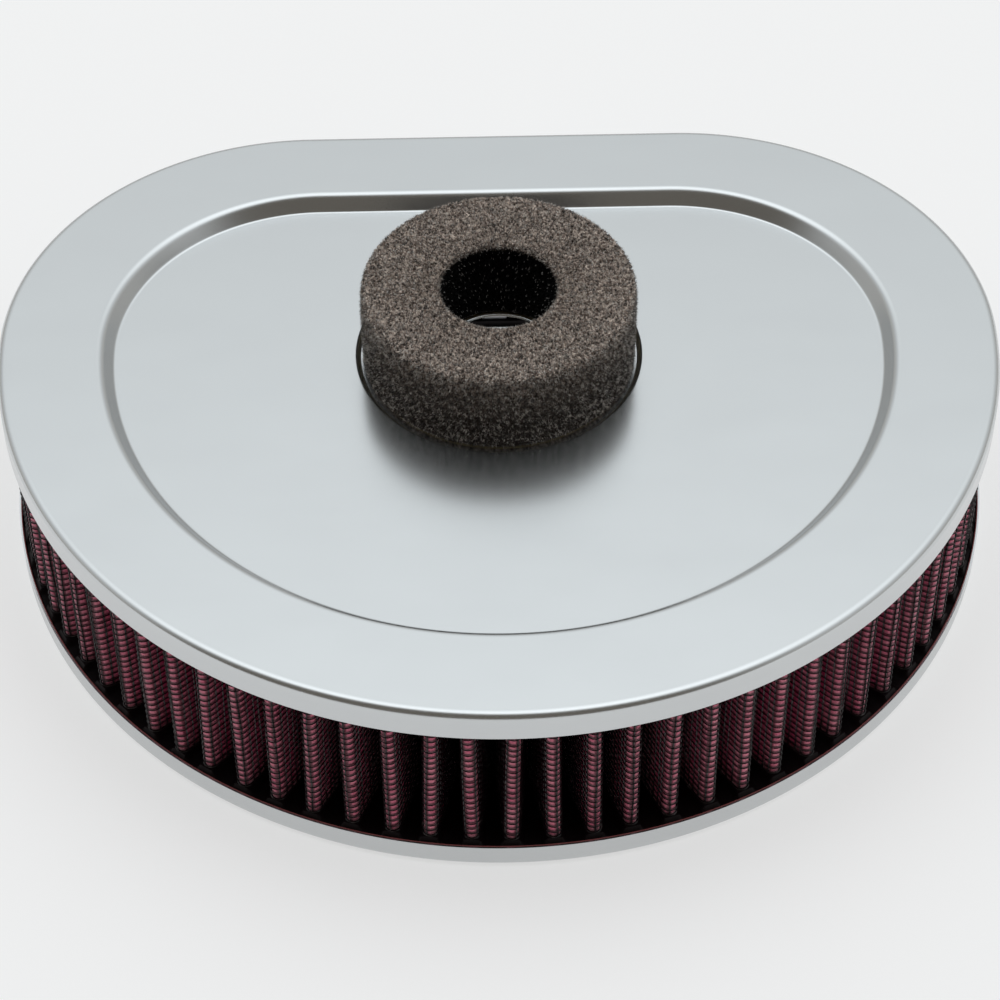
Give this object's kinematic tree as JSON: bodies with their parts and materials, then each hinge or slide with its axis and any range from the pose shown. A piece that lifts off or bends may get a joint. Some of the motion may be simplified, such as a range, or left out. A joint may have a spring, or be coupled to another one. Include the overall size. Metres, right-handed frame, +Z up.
{
  "type": "pleated air filter",
  "caption": "Closed-top D-shaped motorcycle air filter: pleated oiled cotton between a stamped steel cover and base plate, with a foam sealing ring.",
  "frame": {"origin": "centre of the base, on the face of the base gasket, so that the filter stands on z = 0", "axes": "+X along the width, +Y towards the straight back edge, +Z up through the cover to the foam ring"},
  "size_m": [0.235, 0.1896, 0.0692],
  "materials": {
    "plated_steel": "satin zinc plate with a fine straight brushed grain",
    "screen_wire": "thin epoxy-coated wire, dark, with grey glints",
    "oiled_cotton": "red-oiled cotton gauze",
    "clip_steel": "plain folded strip",
    "potting": "dark cast polyurethane, stained by oil",
    "gasket_rubber": "matte closed-cell rubber",
    "grey_foam": "open-cell polyurethane foam, dark warm grey",
    "adhesive": "dried contact adhesive"
  },
  "bodies": {
    "root": {"top_cover": "plated_steel", "bottom_plate": "plated_steel", "outer_wire_screen": "screen_wire", "cotton_gauze_ply_1": "oiled_cotton", "cotton_gauze_ply_2": "oiled_cotton", "cotton_gauze_ply_3": "oiled_cotton", "cotton_gauze_ply_4": "oiled_cotton", "inner_wire_screen": "screen_wire", "seam_clip": "clip_steel", "top_potting": "potting", "bottom_potting": "potting", "base_gasket": "gasket_rubber", "foam_ring": "grey_foam", "foam_adhesive": "adhesive"}
  },
  "joints": []
}
